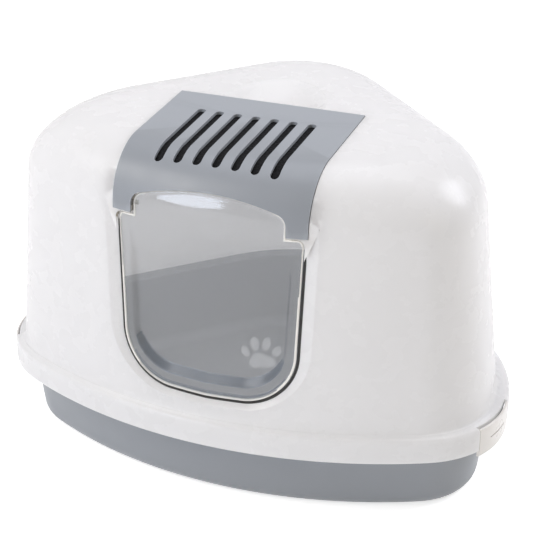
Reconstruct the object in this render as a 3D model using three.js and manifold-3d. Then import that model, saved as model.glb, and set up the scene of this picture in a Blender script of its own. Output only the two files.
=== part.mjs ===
// Corner litter box with a hood: a pan, a hood that lifts off, a vent panel over a carbon pad,
// a clear swing door and two latches. Millimetres, +Z up, front towards -Y, standing on Z = 0.
// The plan is a long front arc, two rounded ends and a rounded back corner, and every wall is a
// loft between insets of that plan.
import * as THREE from 'three';
import { mergeVertices } from 'three/addons/utils/BufferGeometryUtils.js';
import Module from 'manifold-3d';

const wasm = await Module();
wasm.setup();

// Driving dimensions of the plan.
const WIDTH = 590;
const DEPTH = 455;
const HEIGHT = 400;
const FRONT_RADIUS = 531.6;
const END_RADIUS = 209;
const BACK_RADIUS = 175;
const FRONT_CORNER_RADIUS = 105;
const END_CENTRE_Y = -81.6;
const LEG_ANGLE = Math.PI / 4;
const FRONT_CENTRE = new THREE.Vector2(0, FRONT_RADIUS - DEPTH / 2);
const END_CENTRE = new THREE.Vector2(WIDTH / 2 - END_RADIUS, END_CENTRE_Y);
const BACK_CENTRE = new THREE.Vector2(0, DEPTH / 2 - BACK_RADIUS);

// Steps along half of the plan: front arc, front corner, end arc, back corner.
const FRONT_STEPS = 10;
const CORNER_STEPS = 5;
const END_STEPS = 5;
const BACK_STEPS = 5;

// Hood.
const HOOD_WALL = 3;
// Lip profile from its lower edge to the wall's foot: share of the foot's inset, height.
const LIP_PROFILE = [[0, 78], [0.05, 103], [0.18, 106.5], [0.6, 109.5], [0.9, 114], [1, 122]];
const FOOT_INSET = { front: 9, side: 17 };
const SHOULDER = {
  front: { inset: 20, z: 334, topInset: 80 },
  side: { inset: 39, z: 326, topInset: 129 },
};
const FOOT_CORNER = 90;
const SHOULDER_CORNER = 75;
const TOP_CORNER = 45;
const TOP_Z_MIDDLE = 394.5;
const TOP_SLOPE = 0.045;
const WALL_STEPS = 2;
const SHOULDER_STEPS = 7;
const SHOULDER_DRAFT = THREE.MathUtils.degToRad(5);

// Pan.
const TRAY_RIM_Z = 99.6;
const TRAY_WALL = 2.6;
const TRAY_RIM_INSET = 4.3;
const TRAY_TOP_INSET = 20;
const TRAY_LOW_INSET = 28;
const TRAY_FOOT_RADIUS = 18;
const TRAY_FOOT_TURNS = [0, 0.3, 0.65, 1];
const TRAY_INNER_FOOT = { reach: 4, rise: 5 };

// Door flap, front view: half widths and heights.
const DOOR = {
  bottom: 132.5,
  cornerRadius: 60,
  cornerLift: 1.5,
  sideLow: 97.5,
  sideTop: 101.5,
  shoulderZ: 323,
  shoulderRadius: 6,
  humpHalf: 83.5,
  humpRadius: 12,
  archZ: 359,
  archDrop: 10.5,
  humpTurn: 0.45 * Math.PI,
  leastRadius: 2,
};
const DOOR_GAP = 2.6;
const DOOR_GAP_BOTTOM = 4;
const DOOR_DEPTH = 3.5;
const DOOR_WALL = 2.5;
const PAN_DEPTH = 8;
const PAN_RIM = 10;
const PAN_RIM_BOTTOM = 15;
const HINGE = { y: -193, z: 335, pinRadius: 2.4, pinLength: 6.5, pinRoot: 4 };
const HINGE_SEAT = { gap: 3.2, length: 12, radius: 8.5, top: 12, front: 9, mouth: 12 };
const HUMP_SWEEP = 27;
const DOOR_REACH = { opening: 25, flap: 40 };

// Vent panel and carbon pad.
const PANEL = { half: 107, back: -20, depth: -1, thickness: 3.4, shoulderZ: 327, notchGap: 1.6 };
const PANEL_CLEARANCE = 0.4;
const SLOT = { count: 7, pitch: 21.1, width: 9.6, back: -61, front: -179, reach: 110 };
const PAD = { half: 78, back: -42, lowZ: 366, thickness: 7 };
const POCKET_FLOOR = 12;
const POCKET_WALL = 2.5;
const SEAT_BACKING = { below: 6, overlap: 0.6 };
const FLOOR_HOLE = { width: 22, count: 5, pitch: 30, front: -155, back: -55 };

// Finger dish behind the panel.
const DISH = { y: -30, halfWidth: 58, halfDepth: 78, depth: 17, above: 20, steps: 6 };

// Latches, on the front side of each end.
const LATCH = {
  yFront: -131, yBack: -65, bottom: 71, top: 104.5, wall: 2.6, cutTop: 107.5, cutWall: 4.6,
};
const LATCH_BEAD = { bottom: 91, top: 94, reach: 3.8 };
const LATCH_SLIT = { length: 34, height: 2.2, z: 88 };
const LATCH_PIN = { z: 101, radius: 0.9, length: 2.4, inset: 1.5, clearance: 0.35 };
const SEAM = 0.9;

// Reach of the cutting tools past the object, and steps along round outlines and bars.
const FAR = 700;
const HALFWAY = 200;
const ABOVE = HEIGHT + 50;
const ARC = 10;
const SMALL_ARC = 4;
const SLOT_ARC = 5;
const BAR_SIDES = { thick: 24, pin: 16, fine: 10, dish: 28 };

// ---------- solids ----------
function solid(geometry) {
  const bare = geometry.index ? geometry.toNonIndexed() : geometry.clone();
  bare.deleteAttribute('normal');
  bare.deleteAttribute('uv');
  const merged = mergeVertices(bare, 1e-4);
  return new wasm.Manifold(new wasm.Mesh({
    numProp: 3,
    vertProperties: new Float32Array(merged.attributes.position.array),
    triVerts: new Uint32Array(merged.index.array),
  }));
}

function geometryOf(manifold) {
  const mesh = manifold.getMesh();
  const geometry = new THREE.BufferGeometry();
  geometry.setAttribute('position', new THREE.BufferAttribute(mesh.vertProperties, 3));
  geometry.setIndex(new THREE.BufferAttribute(mesh.triVerts, 1));
  geometry.computeVertexNormals();
  return geometry;
}

function block(x0, x1, y0, y1, z0, z1) {
  const geometry = new THREE.BoxGeometry(x1 - x0, y1 - y0, z1 - z0);
  geometry.translate((x0 + x1) / 2, (y0 + y1) / 2, (z0 + z1) / 2);
  return solid(geometry);
}

// A front-view shape (x, z) pushed through from y0 to y1.
function frontPrism(shape, y0, y1) {
  const geometry = new THREE.ExtrudeGeometry(shape, {
    depth: y1 - y0, bevelEnabled: false, curveSegments: ARC,
  });
  geometry.rotateX(Math.PI / 2);
  geometry.translate(0, y1, 0);
  return solid(geometry);
}

// A plan-view shape (x, y) raised from z0 to z1.
function planPrism(shape, z0, z1) {
  const geometry = new THREE.ExtrudeGeometry(shape, {
    depth: z1 - z0, bevelEnabled: false, curveSegments: ARC,
  });
  geometry.translate(0, 0, z0);
  return solid(geometry);
}

// ---------- plan ----------
function arcPoints(centre, radius, from, to, steps) {
  return Array.from({ length: steps + 1 }, (_, i) => {
    const angle = from + (to - from) * i / steps;
    return new THREE.Vector2(
      centre.x + radius * Math.cos(angle), centre.y + radius * Math.sin(angle));
  });
}

// Centre of the corner arc that touches the front arc and the end arc from inside.
function cornerCentre(frontReach, endReach) {
  const between = END_CENTRE.clone().sub(FRONT_CENTRE);
  const gap = between.length();
  const along = (frontReach ** 2 - endReach ** 2 + gap ** 2) / (2 * gap);
  const across = Math.sqrt(frontReach ** 2 - along ** 2);
  const axis = between.normalize();
  return FRONT_CENTRE.clone()
    .addScaledVector(axis, along)
    .addScaledVector(new THREE.Vector2(-axis.y, axis.x), across);
}

// The plan moved inwards by `front` along the front arc and by `side` everywhere else.
function planRing(front, side, cornerRadius) {
  const frontRadius = FRONT_RADIUS - front;
  const endRadius = END_RADIUS - side;
  const corner = cornerCentre(frontRadius - cornerRadius, endRadius - cornerRadius);
  const frontEnd = corner.clone().sub(FRONT_CENTRE).angle() - 2 * Math.PI;
  const endStart = corner.clone().sub(END_CENTRE);
  const endAngle = Math.atan2(endStart.y, endStart.x);
  const right = [
    ...arcPoints(FRONT_CENTRE, frontRadius, -Math.PI / 2, frontEnd, FRONT_STEPS),
    ...arcPoints(corner, cornerRadius, frontEnd, endAngle, CORNER_STEPS).slice(1),
    ...arcPoints(END_CENTRE, endRadius, endAngle, LEG_ANGLE, END_STEPS).slice(1),
    ...arcPoints(BACK_CENTRE, BACK_RADIUS - side, LEG_ANGLE, Math.PI / 2, BACK_STEPS),
  ];
  const left = right.slice(1, -1).reverse().map((p) => new THREE.Vector2(-p.x, p.y));
  return [...right, ...left];
}

// How far a plan point is from the front stretch: 0 on the front arc, 1 past the front corner.
function sideShare(index) {
  const count = 2 * (FRONT_STEPS + CORNER_STEPS + END_STEPS + BACK_STEPS + 1);
  const fromFront = Math.min(index, count - index);
  const start = FRONT_STEPS * 0.55;
  const share = (fromFront - start) / (FRONT_STEPS + CORNER_STEPS - start);
  return THREE.MathUtils.smoothstep(share, 0, 1);
}

// ---------- lofts ----------
// Closed solid through rings of equal length, from the lowest to the highest.
function loft(rings) {
  const count = rings[0].length;
  const positions = [];
  const index = [];
  rings.forEach((ring) => ring.forEach((p) => positions.push(p.x, p.y, p.z)));
  for (let k = 0; k < rings.length - 1; k += 1) {
    for (let i = 0; i < count; i += 1) {
      const a = k * count + i;
      const b = k * count + (i + 1) % count;
      index.push(a, b, b + count, a, b + count, a + count);
    }
  }
  [0, rings.length - 1].forEach((k) => {
    const middle = new THREE.Vector3();
    rings[k].forEach((p) => middle.addScaledVector(p, 1 / count));
    positions.push(middle.x, middle.y, middle.z);
    const hub = positions.length / 3 - 1;
    for (let i = 0; i < count; i += 1) {
      const a = k * count + i;
      const b = k * count + (i + 1) % count;
      if (k === 0) index.push(hub, b, a);
      else index.push(hub, a, b);
    }
  });
  const geometry = new THREE.BufferGeometry();
  geometry.setAttribute('position', new THREE.Float32BufferAttribute(positions, 3));
  geometry.setIndex(index);
  return solid(geometry);
}

const atHeight = (ring, z) => ring.map((p) => new THREE.Vector3(p.x, p.y, z));

const topHeight = (y, inward) => Math.min(HEIGHT, TOP_Z_MIDDLE + TOP_SLOPE * y) - inward;

// The hood's outer surface moved inwards by `inward`, as a solid down to the lip or below it.
const hoodCache = new Map();
function hoodBody(inward) {
  if (hoodCache.has(inward)) return hoodCache.get(inward);
  const lip = LIP_PROFILE.map(([share, z], i) => {
    const ring = planRing(share * FOOT_INSET.front + inward, share * FOOT_INSET.side + inward,
      FRONT_CORNER_RADIUS + share * (FOOT_CORNER - FRONT_CORNER_RADIUS) - inward);
    return atHeight(ring, i === 0 ? z - Math.sign(inward) : z - inward);
  });
  const shoulder = planRing(SHOULDER.front.inset + inward, SHOULDER.side.inset + inward,
    SHOULDER_CORNER - inward);
  const top = planRing(SHOULDER.front.topInset, SHOULDER.side.topInset, TOP_CORNER);
  const shoulderZ = (i) => THREE.MathUtils.lerp(SHOULDER.front.z, SHOULDER.side.z, sideShare(i));
  const foot = lip[lip.length - 1];
  const wall = [];
  for (let k = 1; k <= WALL_STEPS; k += 1) {
    const share = k / WALL_STEPS;
    wall.push(foot.map((p, i) => p.clone().lerp(
      new THREE.Vector3(shoulder[i].x, shoulder[i].y, shoulderZ(i)), share)));
  }
  const round = [];
  for (let k = 1; k <= SHOULDER_STEPS; k += 1) {
    const turn = SHOULDER_DRAFT + (Math.PI / 2 - SHOULDER_DRAFT) * k / SHOULDER_STEPS;
    const out = Math.cos(turn) / Math.cos(SHOULDER_DRAFT);
    const rise = (Math.sin(turn) - Math.sin(SHOULDER_DRAFT)) / (1 - Math.sin(SHOULDER_DRAFT));
    round.push(top.map((p, i) => new THREE.Vector3(
      THREE.MathUtils.lerp(p.x, shoulder[i].x, out),
      THREE.MathUtils.lerp(p.y, shoulder[i].y, out),
      THREE.MathUtils.lerp(shoulderZ(i), topHeight(p.y, inward), rise))));
  }
  const body = loft([...lip, ...wall, ...round]);
  hoodCache.set(inward, body);
  return body;
}

const hoodLayer = (outer, inner) => hoodBody(outer).subtract(hoodBody(inner));

function lipPrism(inward, z0, z1) {
  return planPrism(new THREE.Shape(planRing(inward, inward, FRONT_CORNER_RADIUS - inward)), z0, z1);
}

// ---------- outlines in front view ----------
// The door's outline grown by `grow`; `growBottom` is the growth of its lower edge.
function doorShape(grow, growBottom = grow) {
  const low = DOOR.sideLow + grow;
  const high = DOOR.sideTop + grow;
  const radius = DOOR.cornerRadius + grow;
  const bottom = DOOR.bottom - growBottom;
  const cornerZ = bottom + radius + DOOR.cornerLift;
  const flat = low - radius;
  const shoulder = DOOR.shoulderZ + grow;
  const shoulderRadius = Math.max(DOOR.leastRadius, DOOR.shoulderRadius + grow);
  const hump = DOOR.humpHalf + grow;
  const humpRadius = Math.max(DOOR.leastRadius, DOOR.humpRadius + grow);
  const archEnd = DOOR.archZ + grow - DOOR.archDrop;
  const half = [
    ...new THREE.EllipseCurve(flat, cornerZ, radius, radius, -Math.PI / 2, 0).getPoints(ARC),
    new THREE.Vector2(high, shoulder - shoulderRadius),
    ...new THREE.EllipseCurve(high - shoulderRadius, shoulder - shoulderRadius, shoulderRadius,
      shoulderRadius, 0, Math.PI / 2).getPoints(SMALL_ARC),
    new THREE.Vector2(hump, shoulder),
    ...new THREE.EllipseCurve(hump - humpRadius, archEnd - humpRadius, humpRadius, humpRadius,
      0, DOOR.humpTurn).getPoints(SMALL_ARC),
  ];
  const archHalf = half[half.length - 1].x;
  for (let k = 1; k <= SMALL_ARC; k += 1) {
    const x = archHalf * (1 - k / (SMALL_ARC + 1));
    half.push(new THREE.Vector2(x, archEnd + DOOR.archDrop * (1 - (x / archHalf) ** 2)));
  }
  const left = half.slice().reverse().map((p) => new THREE.Vector2(-p.x, p.y));
  const foot = new THREE.Vector2(0, bottom);
  const crown = new THREE.Vector2(0, archEnd + DOOR.archDrop);
  return new THREE.Shape([foot, ...half, crown, ...left]);
}

// Everything above the panel's lower edge: two legs beside the door's hump and an arch over it.
function panelShape(half, shoulderZ) {
  const hump = DOOR.humpHalf + PANEL.notchGap;
  const notch = doorShape(PANEL.notchGap).getPoints()
    .filter((p) => p.y > shoulderZ && Math.abs(p.x) <= hump + 0.01)
    .sort((a, b) => a.x - b.x || a.y - b.y);
  return new THREE.Shape([
    new THREE.Vector2(-half, shoulderZ),
    new THREE.Vector2(-hump, shoulderZ),
    ...notch,
    new THREE.Vector2(hump, shoulderZ),
    new THREE.Vector2(half, shoulderZ),
    new THREE.Vector2(half, ABOVE),
    new THREE.Vector2(-half, ABOVE),
  ]);
}

// ---------- sub-parts ----------
function makeTray() {
  const ring = (inset, z) => atHeight(planRing(inset, inset, FRONT_CORNER_RADIUS - inset), z);
  const low = TRAY_LOW_INSET;
  const footRings = TRAY_FOOT_TURNS.map((share) => {
    const turn = share * Math.PI / 2;
    return ring(low + TRAY_FOOT_RADIUS * (1 - Math.sin(turn)), TRAY_FOOT_RADIUS * (1 - Math.cos(turn)));
  });
  const body = loft([...footRings, ring(TRAY_TOP_INSET, TRAY_RIM_Z)]);
  const rim = lipPrism(TRAY_RIM_INSET, TRAY_RIM_Z - TRAY_WALL, TRAY_RIM_Z);
  const innerFoot = low + TRAY_WALL;
  const hollow = loft([
    ring(innerFoot + TRAY_FOOT_RADIUS - TRAY_WALL, TRAY_WALL),
    ring(innerFoot + TRAY_INNER_FOOT.reach, TRAY_WALL + TRAY_INNER_FOOT.rise),
    ring(innerFoot, TRAY_FOOT_RADIUS + TRAY_WALL),
    ring(TRAY_TOP_INSET + TRAY_WALL, TRAY_RIM_Z + 1),
  ]);
  return body.add(rim).subtract(hollow);
}

function dishSolid() {
  const profile = [new THREE.Vector2(0, -DISH.depth)];
  for (let k = 1; k <= DISH.steps; k += 1) {
    const reach = k / DISH.steps;
    profile.push(new THREE.Vector2(reach, -DISH.depth * (1 - reach ** 3)));
  }
  profile.push(new THREE.Vector2(1, DISH.above), new THREE.Vector2(0, DISH.above));
  const geometry = new THREE.LatheGeometry(profile, BAR_SIDES.dish);
  geometry.rotateX(Math.PI / 2);
  geometry.scale(DISH.halfWidth, DISH.halfDepth, 1);
  geometry.translate(0, DISH.y, topHeight(DISH.y, 0));
  return solid(geometry);
}

// A bar across the hood with its axis on the door's hinge line.
function hingeBar(radius, reach, sides) {
  const bar = new THREE.CylinderGeometry(radius, radius, 2 * reach, sides);
  bar.rotateZ(Math.PI / 2);
  bar.translate(0, HINGE.y, HINGE.z);
  return solid(bar);
}

// Round bosses beside the door's hump; the pins drop into them from the front.
function hingeSeats() {
  const inner = DOOR.humpHalf + HINGE_SEAT.gap;
  const outer = inner + HINGE_SEAT.length;
  const web = block(-outer, outer, HINGE.y - HINGE_SEAT.front, HINGE.y + HINGE_SEAT.radius - 0.5,
    HINGE.z, HINGE.z + HINGE_SEAT.top);
  return hingeBar(HINGE_SEAT.radius, outer, BAR_SIDES.thick)
    .add(web)
    .subtract(block(-inner, inner, -FAR, FAR, 0, HEIGHT))
    .intersect(hoodBody(PANEL.depth + PANEL.thickness + PANEL_CLEARANCE));
}

function hingeSeatCuts() {
  const reach = DOOR.humpHalf + HINGE.pinLength + 1;
  const radius = HINGE.pinRadius + PANEL_CLEARANCE;
  const mouth = block(-reach, reach, HINGE.y - HINGE_SEAT.mouth, HINGE.y,
    HINGE.z - radius, HINGE.z + radius);
  return hingeBar(radius, reach, BAR_SIDES.pin).add(mouth);
}

function latchZone(side, z0, z1, play) {
  const y0 = LATCH.yFront - play;
  const y1 = LATCH.yBack + play;
  return side > 0
    ? block(HALFWAY, FAR, y0, y1, z0, z1)
    : block(-FAR, -HALFWAY, y0, y1, z0, z1);
}

// The latch turns about a straight line between the two ends of its own stretch of lip.
function latchAxis(side, inset) {
  const angleFront = Math.asin((LATCH.yFront - END_CENTRE_Y) / FRONT_CORNER_RADIUS);
  const angleBack = Math.asin((LATCH.yBack - END_CENTRE_Y) / END_RADIUS);
  const cornerX = WIDTH / 2 - FRONT_CORNER_RADIUS;
  const from = new THREE.Vector3(
    cornerX + (FRONT_CORNER_RADIUS - inset) * Math.cos(angleFront), LATCH.yFront, LATCH_PIN.z);
  const to = new THREE.Vector3(
    END_CENTRE.x + (END_RADIUS - inset) * Math.cos(angleBack), LATCH.yBack, LATCH_PIN.z);
  from.x *= side;
  to.x *= side;
  return [from, to];
}

function latchPins(side, radius, length) {
  const [from, to] = latchAxis(side, LATCH_PIN.inset);
  const along = to.clone().sub(from).normalize();
  const turn = new THREE.Quaternion().setFromUnitVectors(new THREE.Vector3(0, 1, 0), along);
  const pins = [[from, -1], [to, 1]].map(([end, way]) => {
    const geometry = new THREE.CylinderGeometry(radius, radius, 2 * length, BAR_SIDES.fine);
    geometry.applyQuaternion(turn);
    const middle = end.clone().addScaledVector(along, way * 0.2);
    geometry.translate(middle.x, middle.y, middle.z);
    return solid(geometry);
  });
  return pins[0].add(pins[1]);
}

function makeLatch(side) {
  const zone = (z0, z1) => latchZone(side, z0, z1, 0);
  const face = lipPrism(0, LATCH.bottom, LATCH.top)
    .subtract(lipPrism(LATCH.wall, LATCH.bottom - 1, LATCH.top + 1))
    .intersect(zone(LATCH.bottom, LATCH.top));
  const bead = lipPrism(LATCH.wall - 0.5, LATCH_BEAD.bottom, LATCH_BEAD.top)
    .subtract(lipPrism(LATCH_BEAD.reach, LATCH_BEAD.bottom - 1, LATCH_BEAD.top + 1))
    .intersect(zone(LATCH_BEAD.bottom, LATCH_BEAD.top));
  const middle = (LATCH.yFront + LATCH.yBack) / 2;
  const slit = block(-FAR, FAR, middle - LATCH_SLIT.length / 2, middle + LATCH_SLIT.length / 2,
    LATCH_SLIT.z - LATCH_SLIT.height / 2, LATCH_SLIT.z + LATCH_SLIT.height / 2);
  return face.add(bead).subtract(slit).add(latchPins(side, LATCH_PIN.radius, LATCH_PIN.length));
}

function pocketRegion(grow) {
  return block(-PAD.half - grow, PAD.half + grow, -FAR, PAD.back + grow, PAD.lowZ - grow, ABOVE);
}

function makeHood() {
  const seatDepth = PANEL.depth + PANEL.thickness + PANEL_CLEARANCE;
  const seatShape = panelShape(PANEL.half + PANEL_CLEARANCE, PANEL.shoulderZ - PANEL_CLEARANCE);
  const seatBack = PANEL.back + PANEL_CLEARANCE;
  const seat = frontPrism(seatShape, -FAR, seatBack);
  const bigShape = panelShape(PANEL.half + HOOD_WALL, PANEL.shoulderZ - SEAT_BACKING.below);
  const seatBacking = frontPrism(bigShape, -FAR, seatBack + HOOD_WALL);
  const floor = POCKET_FLOOR + POCKET_WALL;
  const pocketWalls = pocketRegion(POCKET_WALL + 0.4);
  const pocketSpace = hoodLayer(seatDepth - 1, POCKET_FLOOR).intersect(pocketRegion(0.4));
  const dish = dishSolid();
  const dishShell = dish.translate([0, 0, -HOOD_WALL]).intersect(hoodBody(0));
  const cavity = hoodBody(HOOD_WALL)
    .subtract(seatBacking.subtract(hoodBody(seatDepth + HOOD_WALL - SEAT_BACKING.overlap)))
    .subtract(pocketWalls.subtract(hoodBody(floor)))
    .subtract(dishShell);
  const floorHoles = Array.from({ length: FLOOR_HOLE.count }, (_, i) => {
    const x = (i - (FLOOR_HOLE.count - 1) / 2) * FLOOR_HOLE.pitch;
    return block(x - FLOOR_HOLE.width / 2, x + FLOOR_HOLE.width / 2,
      FLOOR_HOLE.front, FLOOR_HOLE.back, 0, ABOVE);
  });
  let hood = hoodBody(0)
    .subtract(cavity)
    .subtract(hoodLayer(-1.5, seatDepth).intersect(seat))
    .subtract(pocketSpace)
    .subtract(dish.subtract(seatBacking))
    .subtract(frontPrism(doorShape(DOOR_GAP, DOOR_GAP_BOTTOM), -FAR, HINGE.y + DOOR_REACH.opening))
    .subtract(hingeBar(HUMP_SWEEP, DOOR.humpHalf + DOOR_GAP, BAR_SIDES.thick))
    .add(hingeSeats())
    .subtract(hingeSeatCuts());
  floorHoles.forEach((hole) => {
    hood = hood.subtract(hole.intersect(hoodLayer(POCKET_FLOOR - 1, floor + 1)));
  });
  [-1, 1].forEach((side) => {
    const cut = lipPrism(-2, LATCH.bottom - 2, LATCH.cutTop)
      .subtract(lipPrism(LATCH.cutWall, LATCH.bottom - 3, LATCH.cutTop + 1))
      .intersect(latchZone(side, LATCH.bottom - 2, LATCH.cutTop, SEAM));
    hood = hood.subtract(cut)
      .subtract(latchPins(side, LATCH_PIN.radius + LATCH_PIN.clearance, LATCH_PIN.length + 0.4));
  });
  return hood;
}

function slotShape() {
  const r = SLOT.width / 2;
  const shape = new THREE.Shape();
  shape.absarc(0, SLOT.back - r, r, 0, Math.PI);
  shape.absarc(0, SLOT.front + r, r, Math.PI, 2 * Math.PI);
  return shape;
}

function makeVentPanel() {
  const region = frontPrism(panelShape(PANEL.half, PANEL.shoulderZ), -FAR, PANEL.back);
  let panel = hoodLayer(PANEL.depth, PANEL.depth + PANEL.thickness).intersect(region);
  const slot = new THREE.ExtrudeGeometry(slotShape(), {
    depth: SLOT.reach, bevelEnabled: false, curveSegments: SLOT_ARC,
  });
  slot.translate(0, 0, ABOVE - SLOT.reach);
  for (let i = 0; i < SLOT.count; i += 1) {
    const x = (i - (SLOT.count - 1) / 2) * SLOT.pitch;
    panel = panel.subtract(solid(slot).translate([x, 0, 0]));
  }
  return panel;
}

function makeFilterPad() {
  const outer = PANEL.depth + PANEL.thickness + 0.6;
  return hoodLayer(outer, outer + PAD.thickness).intersect(pocketRegion(-0.4));
}

function makeDoorFlap() {
  const back = HINGE.y + DOOR_REACH.flap;
  const inner = DOOR_DEPTH + DOOR_WALL;
  const rim = hoodLayer(DOOR_DEPTH, inner).intersect(frontPrism(doorShape(0), -FAR, back));
  const pan = hoodLayer(DOOR_DEPTH, inner + PAN_DEPTH)
    .intersect(frontPrism(doorShape(-PAN_RIM, -PAN_RIM_BOTTOM), -FAR, back));
  const panHollow = hoodLayer(DOOR_DEPTH - 1, DOOR_DEPTH + PAN_DEPTH)
    .intersect(frontPrism(doorShape(-PAN_RIM - DOOR_WALL, -PAN_RIM_BOTTOM - DOOR_WALL), -FAR, back));
  const pins = hingeBar(HINGE.pinRadius, DOOR.humpHalf + HINGE.pinLength, BAR_SIDES.pin);
  const pinRoot = DOOR.humpHalf - HINGE.pinRoot;
  const between = block(-pinRoot, pinRoot, -FAR, FAR, 0, HEIGHT);
  return rim.add(pan).subtract(panHollow).add(pins.subtract(between));
}

// ---------- assembly ----------
const plastic = (color, roughness) => new THREE.MeshStandardMaterial({ color, roughness, metalness: 0 });
const whitePlastic = plastic('#efeef2', 0.25);
const trayPlastic = plastic('#8b8e95', 0.4);
const panelPlastic = plastic('#a3a7ae', 0.35);
const carbonFoam = plastic('#16171a', 0.95);
const latchPlastic = plastic('#e9e5e1', 0.3);
const clearPlastic = plastic('#d5dade', 0.1);
clearPlastic.transparent = true;
clearPlastic.opacity = 0.4;

const litterBox = new THREE.Group();

function place(name, body, material) {
  const mesh = new THREE.Mesh(geometryOf(body), material);
  mesh.name = name;
  litterBox.add(mesh);
}

place('tray', makeTray(), trayPlastic);
place('hood', makeHood(), whitePlastic);
place('vent_panel', makeVentPanel(), panelPlastic);
place('filter_pad', makeFilterPad(), carbonFoam);
place('door_flap', makeDoorFlap(), clearPlastic);
place('latch_right', makeLatch(1), latchPlastic);
place('latch_left', makeLatch(-1), latchPlastic);

export default litterBox;
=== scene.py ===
"""Corner litter box with a hood: pan, lift-off hood, vent panel, carbon pad, swing door, two latches.

Lengths are metres. The front faces -Y, +Z is up and the box stands on Z = 0. Every shell is a loft
between rings of one plan: a long front arc, two rounded ends and a rounded back corner.
"""
from math import atan2, ceil, cos, hypot, pi, radians, sin, sqrt

import bmesh
import bpy
from bpy.props import FloatProperty, FloatVectorProperty, IntProperty, PointerProperty
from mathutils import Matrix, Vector
from mathutils.bvhtree import BVHTree


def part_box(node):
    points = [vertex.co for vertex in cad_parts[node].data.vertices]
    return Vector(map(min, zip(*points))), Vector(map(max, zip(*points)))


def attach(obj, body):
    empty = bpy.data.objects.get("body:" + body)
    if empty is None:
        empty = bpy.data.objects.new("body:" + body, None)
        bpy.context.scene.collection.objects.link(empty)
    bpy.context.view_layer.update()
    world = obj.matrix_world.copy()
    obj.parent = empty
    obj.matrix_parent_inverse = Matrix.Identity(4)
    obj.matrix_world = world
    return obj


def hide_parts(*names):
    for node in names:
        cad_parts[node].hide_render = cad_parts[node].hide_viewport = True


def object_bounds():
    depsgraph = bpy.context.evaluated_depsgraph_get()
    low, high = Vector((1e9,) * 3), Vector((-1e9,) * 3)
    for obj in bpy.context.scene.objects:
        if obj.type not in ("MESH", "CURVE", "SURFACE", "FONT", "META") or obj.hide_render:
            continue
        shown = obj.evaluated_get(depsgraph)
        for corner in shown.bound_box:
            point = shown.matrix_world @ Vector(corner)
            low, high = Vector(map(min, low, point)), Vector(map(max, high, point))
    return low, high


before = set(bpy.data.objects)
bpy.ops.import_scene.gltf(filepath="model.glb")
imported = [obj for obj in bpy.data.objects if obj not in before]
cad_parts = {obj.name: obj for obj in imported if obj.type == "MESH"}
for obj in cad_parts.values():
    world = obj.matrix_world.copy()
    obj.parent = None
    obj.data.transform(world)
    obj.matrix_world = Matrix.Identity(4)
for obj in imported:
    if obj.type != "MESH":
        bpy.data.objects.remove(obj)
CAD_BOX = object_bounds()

bl_info = {
    "name": "Corner litter box",
    "version": (1, 0, 0),
    "blender": (4, 5, 0),
    "location": "View3D > Sidebar > Litter box",
    "description": "Builds the hooded litter box around its packed frame",
    "category": "Object",
}

# Plan of the lip: overall size from the frame, radii of its arcs.
WIDTH = CAD_BOX[1].x - CAD_BOX[0].x
DEPTH = CAD_BOX[1].y - CAD_BOX[0].y
FRONT_RADIUS = 0.5316
END_RADIUS = 0.209
BACK_RADIUS = 0.175
FRONT_CORNER_RADIUS = 0.105
LEG_ANGLE = pi / 4
FRONT_CENTRE = Vector((0, FRONT_RADIUS - DEPTH / 2))
END_CENTRE = Vector((WIDTH / 2 - END_RADIUS, -0.0816))
BACK_CENTRE = Vector((0, DEPTH / 2 - BACK_RADIUS))

# Steps along half of the plan.
FRONT_STEPS = 62
CORNER_STEPS = 32
END_STEPS = 36
BACK_STEPS = 28

# Hood heights and how far its shoulder and top lie inside the lip, at the front and at the sides.
HOOD_WALL = 0.003
FOOT_INSET = (0.009, 0.017)
FOOT_CORNER = 0.090
SHOULDER_INSET = (0.020, 0.039)
SHOULDER_Z = (0.334, 0.326)
SHOULDER_CORNER = 0.075
TOP_INSET = (0.080, 0.129)
TOP_CORNER = 0.045
TOP_Z = 0.3945
TOP_SLOPE = 0.045
SHOULDER_DRAFT = radians(5)
SHOULDER_STEPS = 38
WALL_STEPS = 30

# Door flap in front view: half widths and heights.
DOOR_BOTTOM = 0.1325
DOOR_CORNER = 0.060
DOOR_CORNER_LIFT = 0.0015
DOOR_LOW = 0.0975
DOOR_HIGH = 0.1015
DOOR_SHOULDER_Z = 0.323
DOOR_SHOULDER_RADIUS = 0.006
HUMP_HALF = 0.0835
HUMP_RADIUS = 0.012
HUMP_TURN = 0.45 * pi
ARCH_Z = 0.359
ARCH_DROP = 0.0105
DOOR_GAP_BOTTOM = 0.004
HINGE = Vector((0, -0.193, 0.335))
# Top and depth of the dark strip in the door's gap: painted shade for the shade seen in the gap.
GAP_SHADE_TOP = 0.312
GAP_SHADE_DEPTH = 0.0058

# Paw print on the flap: x, z, half width, half height and turn in degrees of each pad.
PAW_PADS = (
    (0.0595, 0.1800, 0.0130, 0.0085, 8),
    (0.0515, 0.1765, 0.0065, 0.0070, 0),
    (0.0680, 0.1790, 0.0065, 0.0070, 0),
    (0.0410, 0.1880, 0.0045, 0.0070, -28),
    (0.0510, 0.1985, 0.0048, 0.0080, -8),
    (0.0635, 0.2000, 0.0048, 0.0080, 12),
    (0.0745, 0.1925, 0.0045, 0.0070, 32),
)
PAW_HAZE = 0.13

# Vent panel, its seat in the hood and the pad's pocket.
PANEL_HALF = 0.107
PANEL_BACK = -0.020
PANEL_LOW = 0.327
PANEL_NOTCH_GAP = 0.0016
PANEL_FIT = 0.0004
POCKET_HALF = 0.078
POCKET_BACK = -0.042
POCKET_LOW = 0.366
POCKET_FLOOR = 0.012
POCKET_WALL = 0.0025

POCKET_HOLES = 5
POCKET_HOLE_PITCH = 0.030
POCKET_HOLE_HALF = 0.011
POCKET_HOLE_Y = (-0.155, -0.055)
SLOT_Y = (-0.179, -0.061)
PAD_GAP = 0.0006
PAD_THICKNESS = 0.007

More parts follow.
